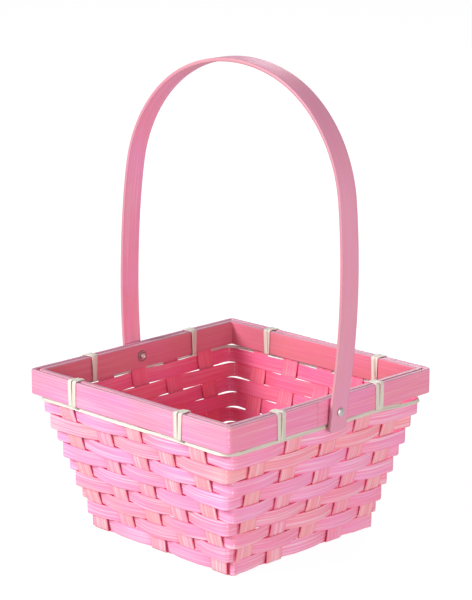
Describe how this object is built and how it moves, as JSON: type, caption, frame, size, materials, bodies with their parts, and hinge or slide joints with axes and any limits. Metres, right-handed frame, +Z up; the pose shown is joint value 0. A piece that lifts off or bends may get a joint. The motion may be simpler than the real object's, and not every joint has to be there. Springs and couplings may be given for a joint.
{
  "type": "easter basket",
  "caption": "Square flared basket of plain-woven split bamboo with a two-hoop rim lashed with cane and a flat bent swing handle on rivets.",
  "frame": {"origin": "on the table under the middle of the base, at the height of the lowest base stakes", "axes": "+Z up to the crown of the handle; the handle stands in the XZ plane with its rivets on the +X and -X sides; +Y is square to the handle"},
  "size_m": [0.2269, 0.2076, 0.3488],
  "materials": {
    "stake_bamboo": "dyed split bamboo, salmon pink, long straight grain, satin",
    "weaver_bamboo_pink": "dyed split bamboo, pink, fine long grain, satin",
    "weaver_bamboo_lilac": "dyed split bamboo, lilac pink, fine long grain, satin",
    "outer_hoop_bamboo": "dyed bamboo strip, light pink, long grain, satin",
    "inner_hoop_bamboo": "dyed bamboo strip, deep pink, matt",
    "handle_bamboo": "dyed bent bamboo strip, pink, long grain, satin",
    "natural_cane": "undyed flat cane, ivory, satin",
    "rivet_steel": "plain steel, satin"
  },
  "bodies": {
    "basket": {"stake_x_1": "stake_bamboo", "stake_x_2": "stake_bamboo", "stake_x_3": "stake_bamboo", "stake_x_4": "stake_bamboo", "stake_x_5": "stake_bamboo", "stake_y_1": "stake_bamboo", "stake_y_2": "stake_bamboo", "stake_y_3": "stake_bamboo", "stake_y_4": "stake_bamboo", "stake_y_5": "stake_bamboo", "weaver_1": "weaver_bamboo_pink", "weaver_2": "weaver_bamboo_lilac", "weaver_3": "weaver_bamboo_pink", "weaver_4": "weaver_bamboo_lilac", "weaver_5": "weaver_bamboo_pink", "weaver_6": "weaver_bamboo_lilac", "weaver_7": "weaver_bamboo_pink", "weaver_8": "weaver_bamboo_lilac", "weaver_9": "weaver_bamboo_pink", "outer_hoop": "outer_hoop_bamboo", "inner_hoop": "inner_hoop_bamboo", "rim_runner": "natural_cane", "lashing_right_1": "natural_cane", "lashing_right_2": "natural_cane", "lashing_back_1": "natural_cane", "lashing_back_2": "natural_cane", "lashing_left_1": "natural_cane", "lashing_left_2": "natural_cane", "lashing_front_1": "natural_cane", "lashing_front_2": "natural_cane", "rivet_right": "rivet_steel", "rivet_left": "rivet_steel", "washer_right": "rivet_steel", "washer_left": "rivet_steel"},
    "handle": {"handle": "handle_bamboo"}
  },
  "joints": [
    {"name": "handle_swing", "type": "hinge", "parent": "basket", "child": "handle", "pos_m": [0, 0, 0.1124], "axis": [1, 0, 0], "range_deg": [-115, 115]}
  ]
}
